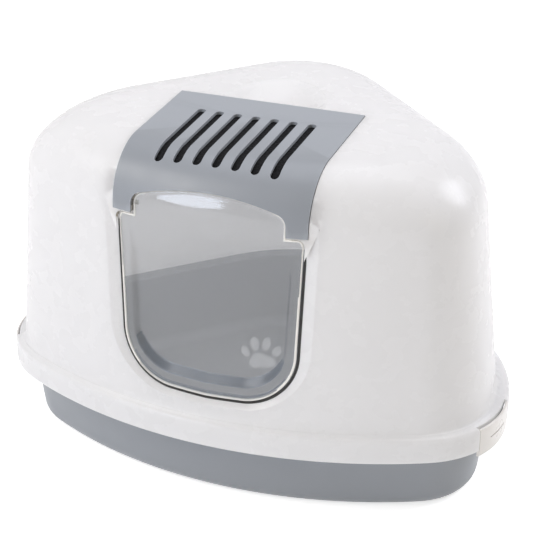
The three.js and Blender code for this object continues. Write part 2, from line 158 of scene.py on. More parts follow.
# Seats beside the door's hump and the pins that turn in them.
PIN_RADIUS = 0.0024
SEAT_RADIUS = 0.0085
HUMP_SWING_RADIUS = 0.027

# Pan: its wall, how far its rim and its foot lie inside the lip, and the foot's radius.
TRAY_WALL = 0.0026
TRAY_TOP_INSET = 0.020
TRAY_LOW_INSET = 0.028
TRAY_FOOT_RADIUS = 0.018

# Latches on the ends of the lip: where they lie along it, and their heights.
LATCH_Y = (-0.131, -0.065)
LATCH_Z = (0.071, 0.1045)
LATCH_THICKNESS = 0.0026
LATCH_PLAY = 0.0009
BEAD_Z = (0.091, 0.094)
SLIT_Z = (0.0871, 0.0889)
SLIT_HALF = 0.017

# Farther than any part of the box, and the smallest radius of a rounded corner.
REACH = 0.7
LEAST_RADIUS = 0.002

# Light let through by the hood's plastic, and the light of the stage.
HOOD_TRANSLUCENCE = 0.37
WORLD_STRENGTH = 0.36
FLOOR_GLOW = 0.6


class LitterBoxSizes(bpy.types.PropertyGroup):
    """Sizes of the litter box that can be changed."""

    surround_width: FloatProperty(
        name="Surround width", description="Width of the sloped band round the doorway",
        default=0.017, unit="LENGTH")
    surround_depth: FloatProperty(
        name="Surround depth", description="How deep the band has sunk at the doorway",
        default=0.0055, unit="LENGTH")
    door_gap: FloatProperty(
        name="Door gap", description="Gap between the flap and the doorway",
        default=0.0026, unit="LENGTH")
    door_depth: FloatProperty(
        name="Door depth", description="How far the flap lies inside the hood's surface",
        default=0.0035, unit="LENGTH")
    door_wall: FloatProperty(
        name="Door wall", description="Thickness of the flap", default=0.0025, unit="LENGTH")
    pan_depth: FloatProperty(
        name="Pan depth", description="How deep the flap's field lies behind its rim",
        default=0.008, unit="LENGTH")
    panel_rise: FloatProperty(
        name="Panel rise", description="How far the vent panel stands proud of the hood's surface",
        default=0.001, unit="LENGTH")
    panel_thickness: FloatProperty(
        name="Panel thickness", description="Thickness of the vent panel",
        default=0.0034, unit="LENGTH")
    slot_count: IntProperty(
        name="Slots", description="Number of vent slots", default=7, min=1, max=8)
    slot_pitch: FloatProperty(
        name="Slot pitch", description="Distance between the slots", default=0.0211, unit="LENGTH")
    slot_width: FloatProperty(
        name="Slot width", description="Width of a slot", default=0.0096, unit="LENGTH")
    dish_depth: FloatProperty(
        name="Dish depth", description="Depth of the finger dish", default=0.017, unit="LENGTH")


def colour_property(name, description, default):
    return FloatVectorProperty(
        name=name, description=description, subtype="COLOR", default=default, min=0, max=1)


class LitterBoxColours(bpy.types.PropertyGroup):
    """Colours of the litter box, scene linear."""

    hood: colour_property("Hood", "White of the hood", (0.93, 0.93, 0.945))
    tray: colour_property("Pan", "Grey of the pan", (0.302, 0.32, 0.35))
    panel: colour_property("Panel", "Grey of the vent panel", (0.286, 0.304, 0.335))
    foam: colour_property("Pad", "Black of the carbon foam", (0.008, 0.008, 0.009))
    door: colour_property("Door", "Haze of the clear flap", (0.82, 0.83, 0.85))
    # Painted shade: the near-black strip in the gap round the flap stands in for the shade seen in the
    # gap.
    gap_shade: colour_property("Seal", "Dark seal round the doorway", (0.022, 0.021, 0.02))
    # Painted shade: the seat below the vent panel is the white hood's plastic, coloured darker beige for
    # the shade it lies in between the panel and the flap.
    seat: colour_property("Seat", "Beige of the seat under the panel", (0.50, 0.465, 0.40))
    latch: colour_property("Latch", "White of the latches", (0.80, 0.775, 0.75))


# ---------- plan and surfaces ----------
def arc_points(centre, radius, start, end, steps):
    angles = [start + (end - start) * i / steps for i in range(steps + 1)]
    return [Vector((centre[0] + radius * cos(a), centre[1] + radius * sin(a))) for a in angles]


def corner_centre(front_reach, end_reach):
    """Centre of the corner arc that touches the front arc and the end arc from inside."""
    between = END_CENTRE - FRONT_CENTRE
    gap = between.length
    along = (front_reach ** 2 - end_reach ** 2 + gap ** 2) / (2 * gap)
    across = sqrt(front_reach ** 2 - along ** 2)
    axis = between / gap
    return FRONT_CENTRE + axis * along + Vector((-axis.y, axis.x)) * across


def plan_ring(front, side, corner_radius):
    """The plan moved inwards by `front` along the front arc and by `side` everywhere else."""
    front_radius = FRONT_RADIUS - front
    end_radius = END_RADIUS - side
    corner = corner_centre(front_radius - corner_radius, end_radius - corner_radius)
    front_end = atan2(corner.y - FRONT_CENTRE.y, corner.x)
    end_start = atan2(corner.y - END_CENTRE.y, corner.x - END_CENTRE.x)
    right = (
        arc_points(FRONT_CENTRE, front_radius, -pi / 2, front_end, FRONT_STEPS)
        + arc_points(corner, corner_radius, front_end, end_start, CORNER_STEPS)[1:]
        + arc_points(END_CENTRE, end_radius, end_start, LEG_ANGLE, END_STEPS)[1:]
        + arc_points(BACK_CENTRE, BACK_RADIUS - side, LEG_ANGLE, pi / 2, BACK_STEPS)
    )
    left = [Vector((-p.x, p.y)) for p in reversed(right[1:-1])]
    return right + left


def smooth(low, high, value):
    share = min(1, max(0, (value - low) / (high - low)))
    return share * share * (3 - 2 * share)


def side_share(index):
    """0 on the front arc, 1 past the front corner."""
    count = 2 * (FRONT_STEPS + CORNER_STEPS + END_STEPS + BACK_STEPS + 1)
    return smooth(FRONT_STEPS * 0.55, FRONT_STEPS + CORNER_STEPS, min(index, count - index))


def top_height(y, inward):
    return TOP_Z + TOP_SLOPE * y - inward


def lift(ring, z):
    return [Vector((p.x, p.y, z)) for p in ring]


def lip_profile():
    """Share of the foot's inset and height, from the lip's lower edge to the wall's foot."""
    bottom, edge, ledge = 0.078, 0.1005, 0.1092
    rounding, fillet = 0.0062, 0.0105
    points = [(0.06, bottom), (0.0, bottom + 0.0008)]
    points += [(0.0, bottom + (edge - bottom) * k / 4) for k in range(1, 5)]
    for k in range(1, 9):
        turn = pi / 2 * k / 8
        points.append((0.34 * (1 - cos(turn)), edge + rounding * sin(turn)))
    points += [(0.46, 0.1075), (0.56, 0.1083)]
    for k in range(9):
        turn = pi / 2 * k / 8
        points.append((0.64 + 0.36 * sin(turn), ledge + (fillet + 0.0023) * (1 - cos(turn)) ** 1.15))
    return points


def hood_rings(inward):
    """Rings of the hood's outer surface moved inwards, from the lip's lower edge to the top."""
    rings = []
    for row, (share, z) in enumerate(lip_profile()):
        corner = FRONT_CORNER_RADIUS + share * (FOOT_CORNER - FRONT_CORNER_RADIUS) - inward
        ring = plan_ring(share * FOOT_INSET[0] + inward, share * FOOT_INSET[1] + inward, corner)
        drop = (0.001 if inward > 0 else 0) if row == 0 else inward
        rings.append(lift(ring, z - drop))
    shoulder = plan_ring(
        SHOULDER_INSET[0] + inward, SHOULDER_INSET[1] + inward, SHOULDER_CORNER - inward)
    top = plan_ring(TOP_INSET[0], TOP_INSET[1], TOP_CORNER)
    count = len(top)
    heights = [SHOULDER_Z[0] + (SHOULDER_Z[1] - SHOULDER_Z[0]) * side_share(i) for i in range(count)]
    foot = rings[-1]
    edge = [Vector((p.x, p.y, z)) for p, z in zip(shoulder, heights)]
    for step in range(1, WALL_STEPS + 1):
        rings.append([a.lerp(b, step / WALL_STEPS) for a, b in zip(foot, edge)])
    for step in range(1, SHOULDER_STEPS + 1):
        turn = SHOULDER_DRAFT + (pi / 2 - SHOULDER_DRAFT) * step / SHOULDER_STEPS
        out = cos(turn) / cos(SHOULDER_DRAFT)
        rise = (sin(turn) - sin(SHOULDER_DRAFT)) / (1 - sin(SHOULDER_DRAFT))
        ring = []
        for inner, outer, z in zip(top, shoulder, heights):
            x, y = inner.lerp(outer, out)
            ring.append(Vector((x, y, z + (top_height(inner.y, inward) - z) * rise)))
        rings.append(ring)
    return rings


# ---------- modelling ----------
def select_only(*pieces):
    bpy.ops.object.select_all(action="DESELECT")
    for piece in pieces:
        piece.select_set(True)
    bpy.context.view_layer.objects.active = pieces[0]


def outwards(piece):
    """Merges doubles and turns every face outwards."""
    select_only(piece)
    bpy.ops.object.mode_set(mode="EDIT")
    bpy.ops.mesh.select_all(action="SELECT")
    bpy.ops.mesh.remove_doubles(threshold=1e-6)
    bpy.ops.mesh.normals_make_consistent(inside=False)
    bpy.ops.object.mode_set(mode="OBJECT")


def close_end():
    bpy.ops.mesh.extrude_region_move()
    bpy.ops.mesh.merge(type="CENTER")


def loft(name, rings):
    """Closed solid: a circle that is extruded from ring to ring and closed at both ends."""
    bpy.ops.object.select_all(action="DESELECT")
    bpy.ops.mesh.primitive_circle_add(vertices=len(rings[0]))
    piece = bpy.context.object
    piece.name = name
    for vertex, point in zip(piece.data.vertices, rings[0]):
        vertex.co = point
    bpy.ops.object.mode_set(mode="EDIT")
    bpy.ops.mesh.select_all(action="SELECT")
    for ring, following in zip(rings, rings[1:]):
        place = {tuple(p): q for p, q in zip(ring, following)}
        bpy.ops.mesh.extrude_region_move()
        for vertex in bmesh.from_edit_mesh(piece.data).verts:
            if vertex.select:
                vertex.co = place[tuple(vertex.co)]
    close_end()
    bpy.ops.mesh.select_all(action="DESELECT")
    bpy.ops.mesh.select_non_manifold()
    close_end()
    bpy.ops.object.mode_set(mode="OBJECT")
    outwards(piece)
    return piece


def block(low, high):
    bpy.ops.object.select_all(action="DESELECT")
    middle = [(a + b) / 2 for a, b in zip(low, high)]
    size = [b - a for a, b in zip(low, high)]
    bpy.ops.mesh.primitive_cube_add(size=1, location=middle, scale=size)
    bpy.ops.object.transform_apply(location=True, rotation=True, scale=True)
    return bpy.context.object


def prism(outline, low, high):
    """A front-view outline (x, z) pushed through from y = low to y = high."""
    bpy.ops.object.select_all(action="DESELECT")
    bpy.ops.mesh.primitive_circle_add(vertices=len(outline), fill_type="NGON")
    piece = bpy.context.object
    for vertex, (x, z) in zip(piece.data.vertices, outline):
        vertex.co = (x, low, z)
    bpy.ops.object.mode_set(mode="EDIT")
    bpy.ops.mesh.select_all(action="SELECT")
    bpy.ops.mesh.extrude_region_move(TRANSFORM_OT_translate={"value": (0, high - low, 0)})
    bpy.ops.object.mode_set(mode="OBJECT")
    outwards(piece)
    return piece


def bar(radius, half, sides=48):
    """A bar across the hood with its axis on the door's hinge line."""
    bpy.ops.object.select_all(action="DESELECT")
    bpy.ops.mesh.primitive_cylinder_add(
        vertices=sides, radius=radius, depth=2 * half, location=HINGE, rotation=(0, pi / 2, 0))
    bpy.ops.object.transform_apply(location=True, rotation=True, scale=True)
    return bpy.context.object


def copy_of(piece):
    select_only(piece)
    bpy.ops.object.duplicate()
    return bpy.context.object


def combine(piece, tool, operation, keep=False):
    """Cuts, joins or intersects with a tool, which is used up unless it is kept."""
    faces = len(piece.data.polygons)
    select_only(piece)
    bpy.ops.object.modifier_add(type="BOOLEAN")
    modifier = piece.modifiers[-1]
    modifier.operation = operation
    modifier.solver = "MANIFOLD"
    modifier.object = tool
    bpy.ops.object.modifier_apply(modifier=modifier.name)
    if not keep:
        bpy.data.objects.remove(tool)
    if len(piece.data.polygons) in (0, faces):
        raise RuntimeError(piece.name + " has nothing left or is unchanged after " + operation)
    return piece


def cut(piece, tool, keep=False):
    return combine(piece, tool, "DIFFERENCE", keep)


def join(piece, tool, keep=False):
    return combine(piece, tool, "UNION", keep)


def common(piece, tool, keep=False):
    return combine(piece, tool, "INTERSECT", keep)


class Skins:
    """The hood's surface moved inwards by any amount, as solids kept for reuse."""

    def __init__(self):
        self.solids = {}
        self.order = []

    def get(self, inward):
        key = round(inward * 1e6)
        if key not in self.solids:
            rings = hood_rings(inward)
            self.solids[key] = self.moved(rings) if self.solids else self.first(rings)
            self.solids[key].name = "skin_%d" % key
        return self.solids[key]

    def first(self, rings):
        piece = loft("skin", rings)
        index = {tuple(v.co): v.index for v in piece.data.vertices}
        self.order = [[index[tuple(p)] for p in ring] for ring in rings]
        return piece

    def moved(self, rings):
        """A copy of the first skin with its vertices moved to other rings."""
        piece = copy_of(next(iter(self.solids.values())))
        vertices = piece.data.vertices
        for places, ring in zip(self.order, rings):
            for place, point in zip(places, ring):
                vertices[place].co = point
        ends = set(range(len(vertices))).difference(*self.order)
        for place in ends:
            ring = min((rings[0], rings[-1]), key=lambda r: abs(r[0].z - vertices[place].co.z))
            vertices[place].co = sum(ring, Vector((0, 0, 0))) / len(ring)
        return piece

    def layer(self, outer, inner):
        return cut(copy_of(self.get(outer)), self.get(inner), keep=True)

    def clear(self):
        for piece in self.solids.values():
            bpy.data.objects.remove(piece)
        self.solids.clear()


skins = Skins()
surface = {}


def front_y(x, z):
    """Where the hood's outer surface lies at a point of the front view."""
    if "tree" not in surface:
        mesh = skins.get(0).data
        surface["tree"] = BVHTree.FromPolygons(
            [v.co.copy() for v in mesh.vertices], [tuple(p.vertices) for p in mesh.polygons])
    place = surface["tree"].ray_cast(Vector((x, -1, z)), Vector((0, 1, 0)))[0]
    if place is None:
        raise RuntimeError("the hood has no surface at x %.3f, z %.3f" % (x, z))
    return place.y


def finish_piece(name, piece, body, materials, node, angle=30):
    """Names a piece, smooths it, gives it its material and ties it to the frame."""
    piece.name = name
    piece.data.materials.clear()
    for look in materials:
        piece.data.materials.append(look)
    select_only(piece)
    bpy.ops.object.shade_smooth_by_angle(angle=radians(angle))
    bpy.ops.object.modifier_add(type="WEIGHTED_NORMAL")
    piece.modifiers[-1].keep_sharp = True
    bpy.ops.object.modifier_apply(modifier=piece.modifiers[-1].name)
    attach(piece, body)
    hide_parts(node)
    return piece


# ---------- outlines in front view ----------
def subdivided(points, longest=0.004, counts=None):
    """Adds points along long stretches; `counts` repeats another outline's division."""
    made = []
    used = []
    for i, point in enumerate(points):
        following = points[(i + 1) % len(points)]
        parts = counts[i] if counts else max(1, ceil((following - point).length / longest))
        used.append(parts)
        made += [point.lerp(following, k / parts) for k in range(parts)]
    return made, used


def mirrored(half, foot_z, crown_z):
    left = [Vector((-p.x, p.y)) for p in reversed(half)]
    return [Vector((0, foot_z))] + half + [Vector((0, crown_z))] + left


def door_outline(grow, grow_bottom=None):
    """The door's outline grown by `grow`; its lower edge grows by `grow_bottom`."""
    grow_bottom = grow if grow_bottom is None else grow_bottom
    low = DOOR_LOW + grow
    high = DOOR_HIGH + grow
    radius = DOOR_CORNER + grow
    bottom = DOOR_BOTTOM - grow_bottom
    corner_z = bottom + radius + DOOR_CORNER_LIFT
    shoulder = DOOR_SHOULDER_Z + grow
    shoulder_radius = max(LEAST_RADIUS, DOOR_SHOULDER_RADIUS + grow)
    hump = HUMP_HALF + grow
    hump_radius = max(LEAST_RADIUS, HUMP_RADIUS + grow)
    arch_end = ARCH_Z + grow - ARCH_DROP
    half = arc_points((low - radius, corner_z), radius, -pi / 2, 0, 28)
    half += arc_points(
        (high - shoulder_radius, shoulder - shoulder_radius), shoulder_radius, 0, pi / 2, 8)
    half += [Vector((hump, shoulder))]
    half += arc_points(
        (hump - hump_radius, arch_end - hump_radius), hump_radius, 0, HUMP_TURN, 10)
    arch_half = half[-1].x
    for k in range(1, 20):
        x = arch_half * (1 - k / 20)
        half.append(Vector((x, arch_end + ARCH_DROP * (1 - (x / arch_half) ** 2))))
    return mirrored(half, bottom, arch_end + ARCH_DROP)


def surround_outline(grow, grow_bottom):
    """The doorway's sides carried straight up to above the door's shoulders."""
    top = 0.366
    low = DOOR_LOW + grow
    radius = DOOR_CORNER + grow
    bottom = DOOR_BOTTOM - grow_bottom
    corner_z = bottom + radius + DOOR_CORNER_LIFT
    half = arc_points((low - radius, corner_z), radius, -pi / 2, 0, 40)
    half += [Vector((DOOR_HIGH + grow, DOOR_SHOULDER_Z)), Vector((DOOR_HIGH + grow + 0.001, top))]
    return mirrored(half, bottom, top)


def panel_outline(half_width, low, gap):
    """Everything above the panel's lower edge: two legs beside the door's hump, arch over it."""
    hump = HUMP_HALF + gap
    notch = [p for p in door_outline(gap) if p.y > low and abs(p.x) <= hump + 1e-5]
    notch.sort(key=lambda p: (round(p.x, 7), p.y if p.x < 0 else -p.y))
    above = 0.5
    return [
        Vector((-half_width, low)), Vector((-hump, low)), *notch,
        Vector((hump, low)), Vector((half_width, low)),
        Vector((half_width, above)), Vector((-half_width, above)),
    ]


def draped_loft(name, stages, outline):
    """Loft through outlines laid on the hood's surface: each stage is (grow, grow_bottom, depth)."""
    counts = subdivided(outline(*stages[0][:2]), longest=0.0015)[1]
    rings = []
    for grow, grow_bottom, depth in stages:
        points = subdivided(outline(grow, grow_bottom), counts=counts)[0]
        rings.append([Vector((p.x, front_y(p.x, p.y) + depth(p.y), p.y)) for p in points])
    return loft(name, rings)


# ---------- materials ----------
class Shader:
    """A new material and short ways to add nodes to it."""

    def __init__(self, name, colour, roughness):
        self.material = bpy.data.materials.new(name)
        self.material.use_nodes = True
        self.tree = self.material.node_tree
        self.shader = self.tree.nodes["Principled BSDF"]
        self.shader.inputs["Base Color"].default_value = (*colour, 1)
        self.shader.inputs["Roughness"].default_value = roughness
        self.coordinates = self.node("ShaderNodeTexCoord").outputs["Object"]

    def node(self, kind, **settings):
        made = self.tree.nodes.new(kind)
        for key, value in settings.items():
            setattr(made, key, value)
        return made

    def link(self, output, target):
        self.tree.links.new(output, target)

    def noise(self, scale, detail=3, roughness=0.5):
        made = self.node("ShaderNodeTexNoise")
        made.inputs["Scale"].default_value = scale
        made.inputs["Detail"].default_value = detail
        made.inputs["Roughness"].default_value = roughness
        self.link(self.coordinates, made.inputs["Vector"])
        return made.outputs["Fac"]

    def voronoi(self, scale):
        made = self.node("ShaderNodeTexVoronoi")
        made.inputs["Scale"].default_value = scale
        self.link(self.coordinates, made.inputs["Vector"])
        return made.outputs["Distance"]

    def spread(self, value, low, high, start=0.3, end=0.7):
        """Maps a value from start..end to low..high."""
        made = self.node("ShaderNodeMapRange")
        made.inputs["From Min"].default_value = start
        made.inputs["From Max"].default_value = end
        made.inputs["To Min"].default_value = low
        made.inputs["To Max"].default_value = high
        self.link(value, made.inputs["Value"])
        return made.outputs["Result"]

    def mix(self, factor, first, second):
        made = self.node("ShaderNodeMix", data_type="RGBA")
        self.link(factor, made.inputs["Factor"])
        for key, value in (("A", first), ("B", second)):
            socket = [s for s in made.inputs if s.name == key and s.type == "RGBA"][0]
            if isinstance(value, (tuple, list)):
                socket.default_value = (*value, 1)
            else:
                self.link(value, socket)
        return [s for s in made.outputs if s.type == "RGBA"][0]

    def bump(self, height, strength, distance, below=None):
        made = self.node("ShaderNodeBump")
        made.inputs["Strength"].default_value = strength
        made.inputs["Distance"].default_value = distance
        self.link(height, made.inputs["Height"])
        if below:
            self.link(below, made.inputs["Normal"])
        return made.outputs["Normal"]

    def worn_edges(self, low=0.52, high=0.58):
        """0 on the faces, up to 1 on sharp outer edges."""
        geometry = self.node("ShaderNodeNewGeometry")
        return self.spread(geometry.outputs["Pointiness"], 0, 1, low, high)

    def into(self, output, name):
        self.link(output, self.shader.inputs[name])


def scaled(colour, factor):
    return tuple(min(1, c * factor) for c in colour)


def plastic(name, colour, roughness, ripple, grain, grain_depth, wear=1.08):
    """Moulded plastic: slow ripple, fine grain, uneven gloss and slightly paler rubbed edges."""
    look = Shader(name, colour, roughness)
    tone = look.mix(look.spread(look.noise(7), 0, 1), scaled(colour, 0.985), scaled(colour, 1.012))
    look.into(look.mix(look.worn_edges(), tone, scaled(colour, wear)), "Base Color")
    gloss = look.spread(look.noise(38, detail=5), roughness * 0.85, roughness * 1.2)
    look.into(gloss, "Roughness")
    slow = look.bump(look.noise(ripple, detail=1), 0.25, 0.0004)
    look.into(look.bump(look.noise(grain, detail=2), 0.3, grain_depth, below=slow), "Normal")
    look.shader.inputs["IOR"].default_value = 1.48
    return look


def hood_plastic(colours):
    """White plastic that lets some light through, so that the inside isn't dark."""
    look = plastic("hood_white", colours.hood, 0.26, 22, 1500, 0.00001, wear=1.02)
    through = look.node("ShaderNodeBsdfTranslucent")
    through.inputs["Color"].default_value = (1.0, 0.985, 0.97, 1)
    body = look.node("ShaderNodeMixShader")
    body.inputs["Fac"].default_value = HOOD_TRANSLUCENCE
    look.link(look.shader.outputs["BSDF"], body.inputs[1])
    look.link(through.outputs["BSDF"], body.inputs[2])
    look.link(body.outputs["Shader"], look.tree.nodes["Material Output"].inputs["Surface"])
    return look.material


def tray_plastic(colours):
    return plastic("tray_grey", colours.tray, 0.38, 18, 1900, 0.00003, wear=1.25).material


def panel_plastic(colours):
    return plastic("panel_grey", colours.panel, 0.36, 20, 2100, 0.00003, wear=1.2).material


def latch_plastic(colours):
    return plastic("latch_white", colours.latch, 0.3, 20, 1700, 0.00002, wear=1.03).material


# Painted shade for the gap round the flap, as a near-black strip.
def gap_shade_strip(colours):
    return plastic("gap_shade_strip", colours.gap_shade, 0.6, 30, 1300, 0.00003, wear=1.4).material


# Painted shade: darker beige on the hood's seat below the vent panel.
def seat_painted_shade(colours):
    return plastic("seat_painted_shade_beige", colours.seat, 0.45, 20, 1500, 0.00002).material


def carbon_foam(colours):
    """Open-cell foam: pits painted darker as shade, between paler struts."""
    look = Shader("carbon_foam", colours.foam, 0.95)
    cells = look.voronoi(420)
    strut = look.spread(cells, 0, 1, 0.1, 0.7)
    # The pits are painted darker as shade.
    look.into(look.mix(strut, scaled(colours.foam, 0.3), scaled(colours.foam, 2)), "Base Color")
    look.into(look.bump(cells, 0.9, 0.0012, below=look.bump(look.noise(160), 0.5, 0.001)), "Normal")
    look.shader.inputs["Specular IOR Level"].default_value = 0.2
    return look.material


def paw_mask(look):
    """1 inside the frosted paw print, as ellipses (x, z, half width, half height, turn)."""
    value = None
    for x, z, half_width, half_height, turn in PAW_PADS:
        place = look.node("ShaderNodeMapping", vector_type="TEXTURE")
        place.inputs["Location"].default_value = (x, 0, z)
        place.inputs["Rotation"].default_value = (0, radians(turn), 0)
        place.inputs["Scale"].default_value = (half_width, 100, half_height)
        look.link(look.coordinates, place.inputs["Vector"])
        reach = look.node("ShaderNodeVectorMath", operation="LENGTH")
        look.link(place.outputs["Vector"], reach.inputs[0])
        pad = look.spread(reach.outputs["Value"], 1, 0, 0.86, 1.02)
        if value is None:
            value = pad
        else:
            larger = look.node("ShaderNodeMath", operation="MAXIMUM")
            look.link(value, larger.inputs[0])
            look.link(pad, larger.inputs[1])
            value = larger.outputs["Value"]
    return value


def clear_plastic(name, colour, haze, roughness, tint, gloss_roughness=0.07, paw=False):
    """Clear moulded plastic: mostly see-through, with a faint haze and a full gloss."""
    look = Shader(name, colour, roughness)
    look.into(look.spread(look.noise(30, detail=4), roughness * 0.8, roughness * 1.3), "Roughness")
    normal = look.bump(look.noise(9, detail=0), 0.08, 0.0003)
    look.into(normal, "Normal")
    see_through = look.node("ShaderNodeBsdfTransparent")
    see_through.inputs["Color"].default_value = (*tint, 1)
    body = look.node("ShaderNodeMixShader")
    body_share = look.spread(look.noise(9), haze * 0.94, haze * 1.06)
    if paw:
        frosted = look.node("ShaderNodeMath", operation="MULTIPLY_ADD")
        frosted.inputs[1].default_value = PAW_HAZE
        look.link(paw_mask(look), frosted.inputs[0])
        look.link(body_share, frosted.inputs[2])
        body_share = frosted.outputs["Value"]
    look.link(body_share, body.inputs["Fac"])
    look.link(see_through.outputs["BSDF"], body.inputs[1])
    look.link(look.shader.outputs["BSDF"], body.inputs[2])
    gloss = look.node("ShaderNodeBsdfGlossy")
    gloss.inputs["Roughness"].default_value = gloss_roughness
    look.link(normal, gloss.inputs["Normal"])
    facing = look.node("ShaderNodeLayerWeight")
    facing.inputs["Blend"].default_value = 0.5
    look.link(normal, facing.inputs["Normal"])
    steep = look.node("ShaderNodeMath", operation="POWER")
    look.link(facing.outputs["Facing"], steep.inputs[0])
    steep.inputs[1].default_value = 5
    mirrored_share = look.spread(steep.outputs["Value"], 0.035, 1, 0, 1)
    top = look.node("ShaderNodeMixShader")
    look.link(mirrored_share, top.inputs["Fac"])
    look.link(body.outputs["Shader"], top.inputs[1])
    look.link(gloss.outputs["BSDF"], top.inputs[2])
    look.link(top.outputs["Shader"], look.tree.nodes["Material Output"].inputs["Surface"])
    return look.material


# ---------- pieces ----------
def build_tray(sizes, colours):
    """Open pan: up its outside, round its rim and down its inside."""
    def ring(inset, z):
        return lift(plan_ring(inset, inset, FRONT_CORNER_RADIUS - inset), z)

    low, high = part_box("tray")
    rim_inset = (WIDTH - (high[0] - low[0])) / 2
    rim_z = high[2]
    wall, foot = TRAY_WALL, TRAY_FOOT_RADIUS
    top_inset, low_inset = TRAY_TOP_INSET, TRAY_LOW_INSET
    inner = foot - wall
    rings = [ring(low_inset + foot + 0.02, 0.0012), ring(low_inset + foot + 0.006, 0.0)]
    for k in range(13):
        turn = pi / 2 * k / 12
        rings.append(ring(low_inset + foot * (1 - sin(turn)), foot * (1 - cos(turn))))
    under_rim = rim_z - wall
    for k in range(1, 13):
        share = k / 12
        inset = low_inset + (top_inset - low_inset) * share
        rings.append(ring(inset, foot + (under_rim - 0.002 - foot) * share))
    rings.append(ring(top_inset - 0.0006, under_rim - 0.0006))
    rings.append(ring(top_inset - 0.002, under_rim))
    rings.append(ring(rim_inset + 0.0008, under_rim))
    for k in range(7):
        turn = -pi / 2 + pi * k / 6
        rings.append(ring(
            rim_inset + wall / 2 * (1 - cos(turn)), rim_z - wall / 2 + wall / 2 * sin(turn)))
    for k in range(6):
        turn = pi / 2 * k / 5
        rings.append(ring(
            top_inset + wall - 0.002 * (1 - sin(turn)), rim_z - 0.002 * (1 - cos(turn))))
    for k in range(1, 13):
        share = k / 12
        inset = top_inset + wall + (low_inset - top_inset) * share
        rings.append(ring(inset, rim_z - 0.002 + (foot - rim_z + 0.002) * share))
    for k in range(1, 11):
        turn = pi / 2 * k / 10
        rings.append(ring(
            low_inset + wall + inner * (1 - cos(turn)), foot - inner * sin(turn)))
    piece = loft("tray_pan", rings)
    return finish_piece("tray_pan", piece, "tray", [tray_plastic(colours)], "tray")


def seat_depth(sizes):
    """How far the floor of the panel's seat lies inside the hood's surface."""
    return sizes.panel_thickness - sizes.panel_rise + PANEL_FIT


def pocket_block(grow):
    return block(
        (-POCKET_HALF - grow, -REACH, POCKET_LOW - grow), (POCKET_HALF + grow, POCKET_BACK + grow, REACH))


def dish_rings(sizes, drop=0.0, rounding=0.004):
    """Finger dish as a stack of ellipses, with a rounded brim."""
    middle_y, half_width, half_depth = -0.030, 0.058, 0.078
    profile = [(r, -sizes.dish_depth * (1 - r ** 3)) for r in (0.1 + 0.9 * k / 16 for k in range(16))]
    for k in range(1, 8):
        turn = pi / 2 * k / 7
        profile.append((1 + rounding / half_width * (sin(turn) - 0.25), -0.0011 * cos(turn) + 0.0002))
    profile += [(1 + rounding / half_width, 0.02)]
    rings = []
    for reach, height in profile:
        ring = arc_points((0, 0), 1, 0, 2 * pi, 96)[:-1]
        made = []
        for p in ring:
            y = middle_y + half_depth * reach * p.y
            made.append(Vector((half_width * reach * p.x, y, top_height(y, 0) + height - drop)))
        rings.append(made)
    return rings


def seat_backing():
    """Front view of the wall behind the panel's seat, as a prism."""
    outline = panel_outline(PANEL_HALF + HOOD_WALL, PANEL_LOW - 0.006, PANEL_NOTCH_GAP)
    return prism(outline, -REACH, PANEL_BACK + PANEL_FIT + HOOD_WALL)


def surround_cutter(sizes):
    """Removes the sloped band round the doorway. The band runs out beside the vent panel."""
    gap, width, depth = sizes.door_gap, sizes.surround_width, sizes.surround_depth
    slope = [(1.09, -0.0006), (1.0, 0.00003), (0.93, 0.00028)]
    slope += [(0.93 - 0.78 * k / 8, 0.00028 + (depth - 0.0004) * k / 8) for k in range(1, 9)]
    slope += [(0.1, depth + 0.0002), (0.05, depth + 0.0007), (0.0, depth + 0.002)]

    def stage(share, inward):
        grow = gap + (width - gap) * share
        grow_bottom = DOOR_GAP_BOTTOM + (0.009 - DOOR_GAP_BOTTOM) * share

        def sunk(z):
            gone = smooth(0.296, 0.350, z)
            return inward * (1 - gone) - 0.0002 * gone

        return grow, grow_bottom, sunk

    stages = [stage(1.09, -0.004)] + [stage(*s) for s in slope]
    stages.append(stage(0.0, 0.004 + depth))
    tool = draped_loft("surround_cutter", stages, surround_outline)
    over_panel = block((-PANEL_HALF - PANEL_FIT, -REACH, PANEL_LOW - PANEL_FIT),
                       (PANEL_HALF + PANEL_FIT, REACH, REACH))
    return cut(tool, over_panel)


def hinge_seats(sizes):
    """Round bosses beside the door's hump; the pins drop into them from the front."""
    radius, inner = SEAT_RADIUS, HUMP_HALF + 0.0032
    outer = inner + 0.012
    web = block((-outer, HINGE.y - 0.009, HINGE.z), (outer, HINGE.y + radius - 0.0005, HINGE.z + 0.012))
    seats = join(bar(radius, outer), web)
    cut(seats, block((-inner, -REACH, 0), (inner, REACH, REACH)))
    return common(seats, skins.get(seat_depth(sizes)), keep=True)


def latch_zone(side, low, high, play):
    y0, y1 = LATCH_Y[0] - play, LATCH_Y[1] + play
    x0, x1 = sorted((0.2 * side, REACH * side))
    return block((x0, y0, low), (x1, y1, high))


def lip_prism(inward, low, high):
    ring = plan_ring(inward, inward, FRONT_CORNER_RADIUS - inward)
    return loft("lip_prism", [lift(ring, low), lift(ring, high)])


def hood_cavity(sizes, backing):
    """The space inside the hood, less the walls behind each recess."""
    cavity = copy_of(skins.get(HOOD_WALL))
    cut(cavity, cut(copy_of(backing), skins.get(seat_depth(sizes) + HOOD_WALL - 0.0006), keep=True))
    pocket = pocket_block(POCKET_WALL + PANEL_FIT)
    cut(cavity, cut(pocket, skins.get(POCKET_FLOOR + POCKET_WALL), keep=True))
    dish_wall = loft("dish_wall", dish_rings(sizes, drop=HOOD_WALL))
    cut(cavity, common(dish_wall, skins.get(0), keep=True))
    frame_ring = prism(surround_outline(0.021, 0.013), -REACH, -0.12)
    return cut(cavity, cut(frame_ring, skins.get(sizes.surround_depth + HOOD_WALL), keep=True))


